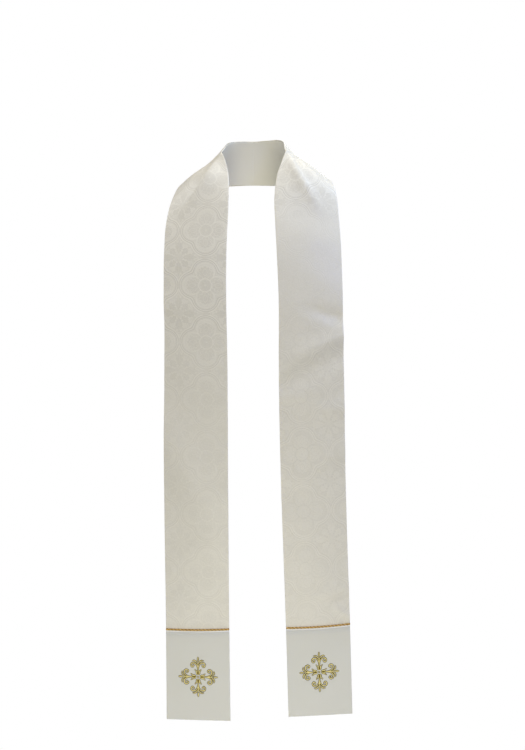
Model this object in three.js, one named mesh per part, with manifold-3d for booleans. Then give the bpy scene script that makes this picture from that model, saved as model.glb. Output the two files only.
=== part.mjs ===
// A priest's stole as it hangs when it is worn, open and hollow: two halves of cream damask that meet in a
// seam behind the neck, a plain end panel below each, a gold piping over the seam between them, an
// embroidered cross on each end panel and a plain lining behind.
// Millimetres. The origin is the middle of the wearer's neck at its base. +Z is up, -Y is the front and
// +X is the wearer's left.
import * as THREE from "three";
import { mergeVertices } from "three/addons/utils/BufferGeometryUtils.js";
import Module from "manifold-3d";

const wasm = await Module();
wasm.setup();

// Cloth and gaps
const GAP = 0.3; // between pieces that are sewn together
const LAYER_GAP = 0.5; // between the damask and its lining
const DAMASK_THICK = 1.2; // damask and end panels, with their interlining
const LINING_THICK = 1.0;
const LINING_INSET = 2.0; // the lining stops short of the band's edges
const BAND_WIDTH = 125; // the band in front, edge to edge

// End panels: heights of their seam over the end of each half at both edges, and how far it sags between
const END_PANEL = {
  right: { inner: 178.5, outer: 175, sag: 1.4 },
  left: { inner: 173, outer: 174.5, sag: 1.7 },
};
const SEAM_FADE = { above: 150, below: 50 }; // the cloth's grain follows the seam's slant this far
const SEAM_TURNING = 9.0; // height of the turned seam allowance under the piping
const TURNING_START = 2.6; // it begins just below the piping
const TURNING_RISE = 0.5;
const PIPING_RADIUS = 1.9;
const PIPING_SIDES = 8;
const PIPING_STEPS = 14;

// Embroidered cross
const CROSS_ABOVE_END = 84.2;
const CROSS_ACROSS = 0.5;
const CROSS_THICK = 1.2;
const RING_RADIUS = 3.3;
const RING_HOLE = 1.3;
const RING_SIDES = 12;
const ARMS = 4;

// Sections of the cloth
const CELLS_ACROSS = 8;
const FINE_STEP = 13; // over the shoulder
const FINE_END = 300;
const COARSE_STEP = 19; // where the band hangs straight
const EDGE_STEPS = 60; // length steps between two rows of an edge
const SHAPED_LENGTH = 260; // the band is cut with a curve over this length, so its inner edge is shorter
const NEAR = 2; // distance to the neighbouring points that give a slope

// Edges of the two halves, each from the centre of the back over the shoulder and down the front.
// out: from the middle to the wearer's side, front: towards the front, up: over the base of the neck
const EDGES = {
  right: {
    inner: [
      { at: "centre back", out: 0, front: -64, up: 44 },
      { at: "nape", out: 31, front: -55, up: 43 },
      { at: "behind the neck", out: 51, front: -29, up: 36 },
      { at: "neck tip", out: 58, front: 0, up: 17 },
      { at: "neck front", out: 54.5, front: 24, up: -5 },
      { at: "collar bone", out: 49, front: 47, up: -38 },
      { at: "upper chest", out: 47.5, front: 68, up: -82 },
      { at: "chest", out: 49.5, front: 87, up: -137 },
      { at: "breast", out: 51.5, front: 102, up: -190 },
      { at: "lower breast", out: 51.5, front: 118, up: -290 },
      { at: "waist", out: 49, front: 126, up: -420 },
      { at: "hip", out: 48, front: 128, up: -600 },
      { at: "seam", out: 45.5, front: 130, up: -927 },
      { at: "end", out: 43, front: 134, up: -1108 },
    ],
    outer: [
      { at: "centre back", out: 0, front: -104, up: -42 },
      { at: "upper back", out: 44, front: -102, up: -44 },
      { at: "shoulder blade", out: 86, front: -88, up: -48 },
      { at: "back of the shoulder", out: 120, front: -58, up: -52 },
      { at: "shoulder", out: 144, front: -12, up: -50 },
      { at: "front of the shoulder", out: 163, front: 26, up: -88 },
      { at: "armhole", out: 172, front: 50, up: -130 },
      { at: "chest", out: 175, front: 73, up: -187 },
      { at: "breast", out: 175, front: 94, up: -268 },
      { at: "lower breast", out: 173, front: 105, up: -346 },
      { at: "waist", out: 173, front: 113, up: -450 },
      { at: "hip", out: 173, front: 118, up: -650 },
      { at: "seam", out: 169, front: 125, up: -929 },
      { at: "end", out: 167.5, front: 130, up: -1105 },
    ],
  },
  left: {
    inner: [
      { at: "centre back", out: 0, front: -64, up: 44 },
      { at: "nape", out: 31, front: -55, up: 45 },
      { at: "behind the neck", out: 52, front: -31, up: 43 },
      { at: "neck tip", out: 61.5, front: -4, up: 33 },
      { at: "neck front", out: 59.5, front: 24, up: 1 },
      { at: "collar bone", out: 48, front: 47, up: -38 },
      { at: "upper chest", out: 43, front: 66, up: -82 },
      { at: "chest", out: 44.5, front: 85, up: -137 },
      { at: "breast", out: 47, front: 100, up: -190 },
      { at: "lower breast", out: 51, front: 117, up: -290 },
      { at: "waist", out: 51, front: 125, up: -420 },
      { at: "hip", out: 54, front: 128, up: -600 },
      { at: "seam", out: 65, front: 131, up: -927 },
      { at: "end", out: 70, front: 135, up: -1100 },
    ],
    outer: [
      { at: "centre back", out: 0, front: -104, up: -42 },
      { at: "upper back", out: 44, front: -102, up: -43 },
      { at: "shoulder blade", out: 86, front: -90, up: -44 },
      { at: "back of the shoulder", out: 120, front: -62, up: -40 },
      { at: "shoulder", out: 143, front: -14, up: -32 },
      { at: "front of the shoulder", out: 163, front: 26, up: -58 },
      { at: "armhole", out: 171, front: 58, up: -127 },
      { at: "chest", out: 174.5, front: 80, up: -187 },
      { at: "breast", out: 176.5, front: 100, up: -268 },
      { at: "lower breast", out: 177.5, front: 110, up: -346 },
      { at: "waist", out: 179, front: 117, up: -450 },
      { at: "hip", out: 182, front: 118, up: -650 },
      { at: "seam", out: 190, front: 125, up: -922 },
      { at: "end", out: 194.5, front: 130, up: -1094 },
    ],
  },
};

// How far the middle of the band stands out from the straight line between its edges
const BOW = [
  { along: 0, rise: 3 },
  { along: 64, rise: 8 },
  { along: 115, rise: 13 },
  { along: 165, rise: 17 },
  { along: 215, rise: 14 },
  { along: 270, rise: 8 },
  { along: 345, rise: 5 },
  { along: 510, rise: 3 },
  { along: 890, rise: 2 },
  { along: 1300, rise: 1 },
];

// Soft creases: each is a ridge, or a trough where its height is negative, along a straight line on the
// cloth, that fades out towards its second end. from and to hold the distance along the band from the centre
// of the back, and the place across it from 0 at the inner edge to 1 at the outer one
const FOLDS = {
  right: [
    { fold: "shoulder bend", from: [122, 0], to: [296, 0.8], height: 4.8, spread: 14 },
    { fold: "hollow under it", from: [170, 0], to: [320, 0.55], height: -2.4, spread: 26 },
    { fold: "chest ripple", from: [468, 1], to: [500, 0.2], height: 2.4, spread: 28 },
    { fold: "long diagonal", from: [700, 1.1], to: [990, -0.1], height: 4.6, spread: 38 },
  ],
  left: [
    { fold: "shoulder bend", from: [144, 0], to: [318, 0.8], height: 4.2, spread: 13 },
    { fold: "hollow under it", from: [200, 0], to: [340, 0.55], height: -1.4, spread: 26 },
    { fold: "dimple over the waist fold", from: [516, 0.9], to: [494, 0.3], height: -3.4, spread: 14 },
    { fold: "waist fold", from: [552, 1], to: [640, -0.55], height: 4.6, spread: 18 },
    { fold: "hollow under the waist fold", from: [642, 0.05], to: [562, 1.5], height: -4.6, spread: 18 },
    { fold: "ledge under the hollow", from: [672, 0], to: [650, 0.9], height: 1.6, spread: 12 },
    { fold: "side ripple", from: [694, 1], to: [702, 0.3], height: 2.4, spread: 16 },
    { fold: "lower ripple", from: [772, 1], to: [850, 0.2], height: 3, spread: 18 },
    { fold: "seam ripple", from: [1046, 1], to: [1068, 0.3], height: 2.6, spread: 15 },
    { fold: "corner crease", from: [1104, 1], to: [1074, 0.7], height: 1.4, spread: 7 },
  ],
};

// Strokes of one arm of the cross, pointing up, from its centre. wide gives the width at the start, in the
// middle and at the end, and a paired stroke has a mirror image on the arm's other side
const STROKES = [
  { stroke: "stem", paired: false, steps: 2, wide: [2.4, 4.4, 3.2], points: [[0, 2.4], [0, 28]] },
  {
    stroke: "petal",
    paired: true,
    steps: 3,
    wide: [2, 3.6, 2],
    points: [[0.5, 3.6], [2.6, 7.2], [1, 12.6]],
  },
  {
    stroke: "thorn",
    paired: true,
    steps: 2,
    wide: [2.8, 2.4, 0.4],
    points: [[1.9, 9], [4.2, 11.4], [6.4, 14.6]],
  },
  {
    stroke: "scroll",
    paired: true,
    steps: 7,
    wide: [2.2, 4, 2.8],
    points: [[1, 19], [3.2, 24], [7.4, 27], [12, 26.2], [13.8, 22.6], [11.6, 19.2], [8.8, 20.2]],
  },
  {
    stroke: "crest",
    paired: true,
    steps: 3,
    wide: [2, 3.4, 1.6],
    points: [[0.9, 26], [3.8, 29.6], [7.6, 31.6], [11.2, 30.8]],
  },
  { stroke: "spear", paired: false, steps: 2, wide: [2.4, 4, 0.4], points: [[0, 26.5], [0, 39]] },
];
const SCROLL_EYE = { x: 9.2, y: 21.4, radius: 2.2, sides: 6 };

const DAMASK = { color: 0xe9e6d8, roughness: 0.6, metalness: 0 };
const SATIN = { color: 0xe6e5da, roughness: 0.55, metalness: 0 };
const LINING = { color: 0xe4e2d6, roughness: 0.7, metalness: 0 };
const CORD = { color: 0xa8742c, roughness: 0.4, metalness: 0.6 };
const THREAD = { color: 0xb8a862, roughness: 0.4, metalness: 0.6 };

// Heights over the cloth's middle surface
const DAMASK_INSIDE = LAYER_GAP / 2;
const DAMASK_OUTSIDE = DAMASK_INSIDE + DAMASK_THICK;
const LINING_OUTSIDE = -LAYER_GAP / 2;
const LINING_INSIDE = LINING_OUTSIDE - LINING_THICK;

// One edge as a smooth curve, entered from its mirror image so that both halves meet square at the back
function edge(rows, side) {
  const points = rows.map((row) => new THREE.Vector3(side * row.out, -row.front, row.up));
  const mirrored = points[1].clone().setX(-points[1].x);
  const curve = new THREE.CatmullRomCurve3([mirrored, ...points], false, "centripetal");
  curve.arcLengthDivisions = points.length * EDGE_STEPS;
  const start = curve.getLengths()[EDGE_STEPS];
  const total = curve.getLength();
  return {
    length: total - start,
    at: (along) => curve.getPointAt(Math.min(1, (start + along) / total)),
  };
}

// A smooth value between the rows of a table of heights
function bow(along) {
  let row = 0;
  while (row < BOW.length - 2 && BOW[row + 1].along < along) {
    row += 1;
  }
  const slope = (index) => {
    const before = BOW[index - 1];
    const after = BOW[index + 1];
    return before && after ? (after.rise - before.rise) / (after.along - before.along) : 0;
  };
  const from = BOW[row];
  const to = BOW[row + 1];
  const step = to.along - from.along;
  const t = (along - from.along) / step;
  return (
    (2 * t ** 3 - 3 * t ** 2 + 1) * from.rise +
    (t ** 3 - 2 * t ** 2 + t) * step * slope(row) +
    (3 * t ** 2 - 2 * t ** 3) * to.rise +
    (t ** 3 - t ** 2) * step * slope(row + 1)
  );
}

// Height of all creases of a half at one place
function creases(folds, along, across) {
  let height = 0;
  for (const fold of folds) {
    const runAlong = fold.to[0] - fold.from[0];
    const runAcross = (fold.to[1] - fold.from[1]) * BAND_WIDTH;
    const awayAlong = along - fold.from[0];
    const awayAcross = (across - fold.from[1]) * BAND_WIDTH;
    const share = (awayAlong * runAlong + awayAcross * runAcross) / (runAlong ** 2 + runAcross ** 2);
    const held = THREE.MathUtils.clamp(share, 0, 1);
    const distance = Math.hypot(awayAlong - held * runAlong, awayAcross - held * runAcross);
    height += fold.height * (1 - held ** 2) * Math.exp(-((distance / fold.spread) ** 2));
  }
  return height;
}

// The middle surface of one half, and points at any height over it
function makeHalf(name) {
  const side = name === "left" ? 1 : -1;
  const inner = edge(EDGES[name].inner, side);
  const outer = edge(EDGES[name].outer, side);
  const shorter = outer.length - inner.length;
  const length = outer.length;
  const panel = END_PANEL[name];
  const seam = length - (panel.inner + panel.outer) / 2;

  // How far the cloth's lines across the band are moved down, so that the seam is one of them
  function seamShift(along, across) {
    const fadeIn = THREE.MathUtils.smoothstep(along, seam - SEAM_FADE.above, seam);
    const fadeOut = 1 - THREE.MathUtils.smoothstep(along, seam, seam + SEAM_FADE.below);
    const slant = (panel.inner - panel.outer) * (across - 0.5);
    return fadeIn * fadeOut * (slant + panel.sag * 4 * across * (1 - across));
  }

  function edges(along) {
    const shaped = THREE.MathUtils.smoothstep(along, 0, SHAPED_LENGTH);
    return [inner.at(along - shorter * shaped), outer.at(along)];
  }

  function middle(row, across) {
    const along = row + seamShift(row, across);
    const [a, b] = edges(along);
    const [aBefore, bBefore] = edges(Math.max(0, along - NEAR));
    const [aAfter, bAfter] = edges(Math.min(length, along + NEAR));
    const width = b.clone().sub(a);
    const run = aAfter.add(bAfter).sub(aBefore).sub(bBefore);
    const outwards = run.cross(width).normalize().multiplyScalar(side);
    const height = bow(along) * 4 * across * (1 - across) + creases(FOLDS[name], along, across);
    return a.addScaledVector(width, across).addScaledVector(outwards, height);
  }

  function point(along, across, height) {
    const nearAcross = NEAR / BAND_WIDTH;
    const before = middle(Math.max(0, along - NEAR), across);
    const run = middle(Math.min(length, along + NEAR), across).sub(before);
    const width = middle(along, across + nearAcross).sub(middle(along, across - nearAcross));
    const normal = run.cross(width).normalize().multiplyScalar(side);
    return middle(along, across).addScaledVector(normal, height);
  }

  return { side, length, seam, point };
}

// Stations along the cloth, closer together over the shoulder
function stations(from, to) {
  const values = [from];
  const places = [
    { until: Math.min(FINE_END, to), step: FINE_STEP },
    { until: to, step: COARSE_STEP },
  ];
  for (const place of places) {
    const start = values[values.length - 1];
    const count = Math.ceil((place.until - start) / place.step);
    for (let i = 1; i <= count; i += 1) {
      values.push(start + ((place.until - start) * i) / count);
    }
  }
  return values;
}

// Points in one line across the band. An inset moves the first and last towards their neighbours, so that an
// inset layer keeps the facets of the layer it lies on
function crossing(half, along, height, inset) {
  const line = [];
  for (let i = 0; i <= CELLS_ACROSS; i += 1) {
    line.push(half.point(along, i / CELLS_ACROSS, height));
  }
  const share = (inset * CELLS_ACROSS) / BAND_WIDTH;
  line[0].lerp(line[1], share);
  line[CELLS_ACROSS].lerp(line[CELLS_ACROSS - 1], share);
  return line;
}

// A closed wall of cloth between two heights over the middle surface
function wall(half, alongs, outside, inside, inset) {
  const rows = alongs.length;
  const columns = CELLS_ACROSS + 1;
  const positions = [];
  for (const height of [outside, inside]) {
    for (const along of alongs) {
      positions.push(...crossing(half, along, height(along), inset).flatMap((point) => point.toArray()));
    }
  }
  const triangles = [];
  const quad = (a, b, c, d) => {
    const corners = half.side > 0 ? [a, b, c, d] : [d, c, b, a];
    triangles.push(corners[0], corners[1], corners[2], corners[0], corners[2], corners[3]);
  };
  const front = (row, column) => row * columns + column;
  const back = (row, column) => rows * columns + row * columns + column;
  for (let row = 0; row < rows - 1; row += 1) {
    for (let column = 0; column < columns - 1; column += 1) {
      quad(front(row, column), front(row + 1, column), front(row + 1, column + 1), front(row, column + 1));
      quad(back(row, column), back(row, column + 1), back(row + 1, column + 1), back(row + 1, column));
    }
    const last = columns - 1;
    quad(front(row, 0), back(row, 0), back(row + 1, 0), front(row + 1, 0));
    quad(front(row, last), front(row + 1, last), back(row + 1, last), back(row, last));
  }
  for (let column = 0; column < columns - 1; column += 1) {
    const last = rows - 1;
    quad(front(0, column), front(0, column + 1), back(0, column + 1), back(0, column));
    quad(front(last, column), back(last, column), back(last, column + 1), front(last, column + 1));
  }
  const geometry = new THREE.BufferGeometry();
  geometry.setAttribute("position", new THREE.Float32BufferAttribute(positions, 3));
  geometry.setIndex(triangles);
  return geometry;
}

function damask(half) {
  const alongs = stations(GAP / 2, half.seam - GAP / 2);
  return wall(half, alongs, () => DAMASK_OUTSIDE, () => DAMASK_INSIDE, 0);
}

function lining(half) {
  const upper = stations(GAP / 2, half.seam);
  const lower = stations(half.seam, half.length - LINING_INSET).slice(1);
  const alongs = [...upper, ...lower];
  return wall(half, alongs, () => LINING_OUTSIDE, () => LINING_INSIDE, LINING_INSET);
}

// The end panel is thicker where the seam allowance is turned down behind it
function endPanel(half) {
  const first = half.seam + TURNING_START;
  const last = half.seam + SEAM_TURNING;
  const edgeStep = TURNING_RISE;
  const turned = [half.seam + GAP / 2, first, first + edgeStep, last - edgeStep, last];
  const plain = stations(last, half.length).slice(1);
  const isRaised = (along) => along > first + edgeStep / 2 && along < last - edgeStep / 2;
  const outside = (along) => DAMASK_OUTSIDE + (isRaised(along) ? TURNING_RISE : 0);
  return wall(half, [...turned, ...plain], outside, () => DAMASK_INSIDE, 0);
}

// A cord of round section that lies on the seam from edge to edge
function piping(half) {
  const height = DAMASK_OUTSIDE + GAP + PIPING_RADIUS;
  const points = crossing(half, half.seam, height, 0);
  const path = new THREE.CatmullRomCurve3(points, false, "centripetal");
  const section = new THREE.Shape();
  for (let i = 0; i < PIPING_SIDES; i += 1) {
    const angle = (2 * Math.PI * i) / PIPING_SIDES;
    const place = [PIPING_RADIUS * Math.cos(angle), PIPING_RADIUS * Math.sin(angle)];
    if (i === 0) {
      section.moveTo(...place);
    } else {
      section.lineTo(...place);
    }
  }
  section.closePath();
  const tube = new THREE.ExtrudeGeometry(section, { steps: PIPING_STEPS, extrudePath: path });
  return joined(tube);
}

// A geometry whose shared points are merged, with nothing but its points
function joined(geometry) {
  geometry.deleteAttribute("normal");
  geometry.deleteAttribute("uv");
  return mergeVertices(geometry, 1e-4);
}

function toSolid(geometry) {
  const merged = joined(geometry);
  return new wasm.Manifold(
    new wasm.Mesh({
      numProp: 3,
      vertProperties: Float32Array.from(merged.attributes.position.array),
      triVerts: Uint32Array.from(merged.index.array),
    }),
  );
}

function raised(shape) {
  return toSolid(new THREE.ExtrudeGeometry(shape, { depth: CROSS_THICK, bevelEnabled: false }));
}

// The outline of one stroke: a curve with a width that swells or tapers between its ends
function strokeShape(stroke, mirror) {
  const spine = new THREE.SplineCurve(stroke.points.map(([x, y]) => new THREE.Vector2(mirror * x, y)));
  const [start, centre, end] = stroke.wide;
  const sides = [[], []];
  for (let i = 0; i <= stroke.steps; i += 1) {
    const t = i / stroke.steps;
    const place = spine.getPoint(t);
    const along = spine.getTangent(t);
    const width =
      t < 0.5
        ? THREE.MathUtils.lerp(start, centre, 2 * t)
        : THREE.MathUtils.lerp(centre, end, 2 * t - 1);
    const away = new THREE.Vector2(-along.y, along.x).multiplyScalar(width / 2);
    sides[0].push(place.clone().add(away));
    sides[1].unshift(place.clone().sub(away));
  }
  return new THREE.Shape([...sides[0], ...sides[1]]);
}

function disc(x, y, radius, sides) {
  const points = [];
  for (let i = 0; i < sides; i += 1) {
    const angle = (2 * Math.PI * (i + 0.5)) / sides;
    points.push(new THREE.Vector2(x + radius * Math.cos(angle), y + radius * Math.sin(angle)));
  }
  return new THREE.Shape(points);
}

function crossArm() {
  let arm = null;
  const join = (shape) => {
    const solid = raised(shape);
    arm = arm ? arm.add(solid) : solid;
  };
  for (const stroke of STROKES) {
    for (const mirror of stroke.paired ? [-1, 1] : [1]) {
      join(strokeShape(stroke, mirror));
    }
  }
  for (const mirror of [-1, 1]) {
    join(disc(mirror * SCROLL_EYE.x, SCROLL_EYE.y, SCROLL_EYE.radius, SCROLL_EYE.sides));
  }
  return arm;
}

// The flat cross: four equal arms round a ring
function flatCross() {
  const ring = disc(0, 0, RING_RADIUS, RING_SIDES);
  ring.holes.push(new THREE.Path(disc(0, 0, RING_HOLE, RING_SIDES / 2).getPoints()));
  const arm = crossArm();
  let cross = raised(ring);
  for (let i = 0; i < ARMS; i += 1) {
    cross = cross.add(arm.rotate([0, 0, (360 * i) / ARMS]));
  }
  return cross.getMesh();
}

const FLAT_CROSS = flatCross();

// The cross laid on an end panel: each of its points is set at its height over the cloth
function embroideredCross(half) {
  const positions = [];
  const { numProp, vertProperties, triVerts } = FLAT_CROSS;
  for (let i = 0; i < vertProperties.length; i += numProp) {
    const [x, y, height] = vertProperties.slice(i, i + 3);
    const along = half.length - CROSS_ABOVE_END - y;
    const across = CROSS_ACROSS + (half.side * x) / BAND_WIDTH;
    positions.push(...half.point(along, across, DAMASK_OUTSIDE + GAP + height).toArray());
  }
  const geometry = new THREE.BufferGeometry();
  geometry.setAttribute("position", new THREE.Float32BufferAttribute(positions, 3));
  geometry.setIndex(Array.from(triVerts));
  return geometry;
}

const PIECES = [
  { piece: "damask", make: damask, look: DAMASK },
  { piece: "end", make: endPanel, look: SATIN },
  { piece: "lining", make: lining, look: LINING },
  { piece: "piping", make: piping, look: CORD },
  { piece: "cross", make: embroideredCross, look: THREAD },
];

const stole = new THREE.Group();
for (const name of ["right", "left"]) {
  const half = makeHalf(name);
  for (const { piece, make, look } of PIECES) {
    const mesh = new THREE.Mesh(make(half), new THREE.MeshStandardMaterial(look));
    mesh.name = `${piece}_${name}`;
    stole.add(mesh);
  }
}

export default stole;
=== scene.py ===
# A priest's stole as it hangs when it is worn, open and hollow: two halves of cream damask, plain end panels
# under a twisted gold piping, an embroidered cross on each, and a plain lining behind.
# The frame is the part's own, in metres: the origin is the middle of the wearer's neck at its base, +Z is up,
# -Y is the front and +X is the wearer's left. Tables and named sizes are in millimetres, as in the part's
# source, and MM turns them into metres.
import math

import bpy
import numpy as np
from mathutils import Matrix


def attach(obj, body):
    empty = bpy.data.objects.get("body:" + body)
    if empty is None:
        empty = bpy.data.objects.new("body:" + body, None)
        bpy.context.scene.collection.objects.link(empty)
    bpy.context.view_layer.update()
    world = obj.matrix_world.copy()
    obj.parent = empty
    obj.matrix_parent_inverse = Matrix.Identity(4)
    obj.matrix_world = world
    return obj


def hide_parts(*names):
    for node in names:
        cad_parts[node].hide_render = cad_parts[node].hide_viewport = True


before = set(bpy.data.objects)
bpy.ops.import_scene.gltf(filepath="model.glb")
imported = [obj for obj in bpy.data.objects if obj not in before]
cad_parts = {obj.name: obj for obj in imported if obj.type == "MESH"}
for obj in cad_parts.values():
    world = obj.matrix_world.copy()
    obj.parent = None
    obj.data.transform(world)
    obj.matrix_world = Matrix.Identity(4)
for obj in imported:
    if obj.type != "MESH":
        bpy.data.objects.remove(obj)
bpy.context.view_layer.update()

MM = 0.001

# Edges of the two halves, each from the centre of the back over the shoulder and down the front.
# Columns: at, out from the middle to the wearer's side, to the front, up over the base of the neck
EDGES = {
    ("right", "inner"): [
        ("centre back", 0, -64, 44),
        ("nape", 31, -55, 43),
        ("behind the neck", 51, -29, 36),
        ("neck tip", 58, 0, 17),
        ("neck front", 54.5, 24, -5),
        ("collar bone", 49, 47, -38),
        ("upper chest", 47.5, 68, -82),
        ("chest", 49.5, 87, -137),
        ("breast", 51.5, 102, -190),
        ("lower breast", 51.5, 118, -290),
        ("waist", 49, 126, -420),
        ("hip", 48, 128, -600),
        ("seam", 45.5, 130, -927),
        ("end", 43, 134, -1108),
    ],
    ("right", "outer"): [
        ("centre back", 0, -104, -42),
        ("upper back", 44, -102, -44),
        ("shoulder blade", 86, -88, -48),
        ("back of the shoulder", 120, -58, -52),
        ("shoulder", 144, -12, -50),
        ("front of the shoulder", 163, 26, -88),
        ("armhole", 172, 50, -130),
        ("chest", 175, 73, -187),
        ("breast", 175, 94, -268),
        ("lower breast", 173, 105, -346),
        ("waist", 173, 113, -450),
        ("hip", 173, 118, -650),
        ("seam", 169, 125, -929),
        ("end", 167.5, 130, -1105),
    ],
    ("left", "inner"): [
        ("centre back", 0, -64, 44),
        ("nape", 31, -55, 45),
        ("behind the neck", 52, -31, 43),
        ("neck tip", 61.5, -4, 33),
        ("neck front", 59.5, 24, 1),
        ("collar bone", 48, 47, -38),
        ("upper chest", 43, 66, -82),
        ("chest", 44.5, 85, -137),
        ("breast", 47, 100, -190),
        ("lower breast", 51, 117, -290),
        ("waist", 51, 125, -420),
        ("hip", 54, 128, -600),
        ("seam", 65, 131, -927),
        ("end", 70, 135, -1100),
    ],
    ("left", "outer"): [
        ("centre back", 0, -104, -42),
        ("upper back", 44, -102, -43),
        ("shoulder blade", 86, -90, -44),
        ("back of the shoulder", 120, -62, -40),
        ("shoulder", 143, -14, -32),
        ("front of the shoulder", 163, 26, -58),
        ("armhole", 171, 58, -127),
        ("chest", 174.5, 80, -187),
        ("breast", 176.5, 100, -268),
        ("lower breast", 177.5, 110, -346),
        ("waist", 179, 117, -450),
        ("hip", 182, 118, -650),
        ("seam", 190, 125, -922),
        ("end", 194.5, 130, -1094),
    ],
}

# How far the middle of the band stands out from the straight line between its edges. Columns: along, rise
BOW = [(0, 3), (64, 8), (115, 13), (165, 17), (215, 14), (270, 8), (345, 5), (510, 3), (890, 2), (1300, 1)]

# Soft creases, ridges or troughs along straight lines on the cloth, that fade out towards their second end.
# Columns: name, from (along, across), to (along, across), height, spread
FOLDS = {
    "right": [
        ("shoulder bend", (122, 0.0), (296, 0.8), 4.8, 14),
        ("hollow under it", (170, 0.0), (320, 0.55), -2.4, 26),
        ("chest ripple", (468, 1.0), (500, 0.2), 2.4, 28),
        ("long diagonal", (700, 1.1), (990, -0.1), 4.6, 38),
    ],
    "left": [
        ("shoulder bend", (144, 0.0), (318, 0.8), 4.2, 13),
        ("hollow under it", (200, 0.0), (340, 0.55), -1.4, 26),
        ("dimple over the waist fold", (516, 0.9), (494, 0.3), -3.4, 14),
        ("waist fold", (552, 1.0), (640, -0.55), 4.6, 18),
        ("hollow under the waist fold", (642, 0.05), (562, 1.5), -4.6, 18),
        ("ledge under the hollow", (672, 0.0), (650, 0.9), 1.6, 12),
        ("side ripple", (694, 1.0), (702, 0.3), 2.4, 16),
        ("lower ripple", (772, 1.0), (850, 0.2), 3.0, 18),
        ("seam ripple", (1046, 1.0), (1068, 0.3), 2.6, 15),
        ("corner crease", (1104, 1.0), (1074, 0.7), 1.4, 7),
    ],
}

# Sharper creases on the folds. Columns as in FOLDS
CREASES = {
    "right": [
        ("bend line", (124, 0.0), (270, 0.76), 2.1, 4.5),
        ("pull at the neck", (150, 0.0), (186, 0.4), 0.6, 5),
    ],
    "left": [
        ("bend line", (146, 0.0), (296, 0.74), 1.8, 6.5),
        ("waist crease", (554, 1.0), (590, 0.2), 0.8, 6),
        ("seam crease", (1064, 0.98), (1084, 0.6), -0.8, 5),
    ],
}

# Slack of the cloth, waves too low to be creases. Columns: height, length along, length across, start
SLACK = [(0.45, 190, 310, 0.4), (0.2, 83, -170, 1.9), (0.06, 47, 96, 3.1)]
SLACK_FADE = (60, 300)  # none behind the neck, all of it from the chest on
SLACK_SHIFT = 0.13  # in turns, opposite ways on the two halves

EDGE_STEPS = 60  # length steps between two rows of an edge
SHAPED_LENGTH = 260  # the band is cut with a curve over this length, so its inner edge is shorter
BAND_WIDTH = 125
NEAR = 2  # distance to the neighbouring points that give a slope

# End panels: heights of their seam over the end of each half at both edges, and how far it sags between
END_PANEL = {
    "right": {"inner": 178.5, "outer": 175, "sag": 1.4},
    "left": {"inner": 173, "outer": 174.5, "sag": 1.7},
}
SEAM_FADE = {"above": 150, "below": 50}  # the cloth's grain follows the seam's slant this far
SEAM_GAP = 0.1
LAYER_GAP = 0.5  # between the damask and its lining
DAMASK_THICK = 1.2
LINING_THICK = 1.0
LINING_INSET = 2.0
DAMASK_OUTSIDE = LAYER_GAP / 2 + DAMASK_THICK
SEAM_TURNING = 9.0  # height of the turned seam allowance under the piping
TURNING_RISE = 0.5
TURNING_FALL = {"before": 0.8, "after": 0.6}  # it falls off this far before and after its edge
TURNING_CELL = 0.6
TURNING_CELLS_PAST = 2  # the small cells go this far past its edge
WHITE_LINE_MIDDLE = 3.3  # a near-white line is painted on the end panel just below the cord, over a small rise
WHITE_LINE_WIDTH = 2.0
WHITE_LINE_RISE = 0.4
EDGE_ROLL = (1.6, 1.5, 0.35)  # middle, spread and height of the roll along a turned edge
HEM_ROLL = (1.6, 1.4, 0.3)
CELL = 3.0  # size of the cloth's mesh cells

PIPING_RADIUS = 1.9
CROSS_ABOVE_END = 84.2
CROSS_ACROSS = 0.5


def catmull_rom(points):
    """A dense centripetal Catmull-Rom line through the points."""
    ends = np.vstack([2 * points[0] - points[1], points, 2 * points[-1] - points[-2]])
    share = np.linspace(0, 1, EDGE_STEPS, endpoint=False)[:, None]
    lines = []
    for before, start, end, after in zip(ends, ends[1:], ends[2:], ends[3:]):
        steps = [np.sqrt(np.linalg.norm(b - a)) for a, b in ((before, start), (start, end), (end, after))]
        t0, t1, t2 = steps
        slope1 = ((start - before) / t0 - (end - before) / (t0 + t1) + (end - start) / t1) * t1
        slope2 = ((end - start) / t1 - (after - start) / (t1 + t2) + (after - end) / t2) * t1
        square = -3 * start + 3 * end - 2 * slope1 - slope2
        cube = 2 * start - 2 * end + slope1 + slope2
        lines.append(start + slope1 * share + square * share**2 + cube * share**3)
    lines.append(points[-1:])
    return np.concatenate(lines)


def lengths_along(line):
    return np.concatenate([[0], np.cumsum(np.linalg.norm(np.diff(line, axis=0), axis=1))])


class Edge:
    """One edge of a half, entered from its mirror image so that both halves meet square at the back."""

    def __init__(self, rows, side):
        points = np.array([(side * out, -front, up) for _, out, front, up in rows], float)
        mirrored = points[1] * (-1, 1, 1)
        self.line = catmull_rom(np.vstack([mirrored, points]))[EDGE_STEPS:]
        self.lengths = lengths_along(self.line)
        self.length = self.lengths[-1]

    def at(self, along):
        return np.stack([np.interp(along, self.lengths, self.line[:, axis]) for axis in range(3)], -1)


def smoothstep(value, low, high):
    share = np.clip((value - low) / (high - low), 0, 1)
    return share * share * (3 - 2 * share)


def smooth_rows(rows, place):
    """A smooth value between the rows of a table of (place, value)."""
    places, values = np.array(rows, float).T
    slopes = np.zeros(len(rows))
    slopes[1:-1] = (values[2:] - values[:-2]) / (places[2:] - places[:-2])
    row = np.clip(np.searchsorted(places, place, side="right") - 1, 0, len(rows) - 2)
    step = places[row + 1] - places[row]
    t = (place - places[row]) / step
    return (
        (2 * t**3 - 3 * t**2 + 1) * values[row]
        + (t**3 - 2 * t**2 + t) * step * slopes[row]
        + (3 * t**2 - 2 * t**3) * values[row + 1]
        + (t**3 - t**2) * step * slopes[row + 1]
    )


def unit(vectors):
    return vectors / np.linalg.norm(vectors, axis=-1, keepdims=True)


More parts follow.
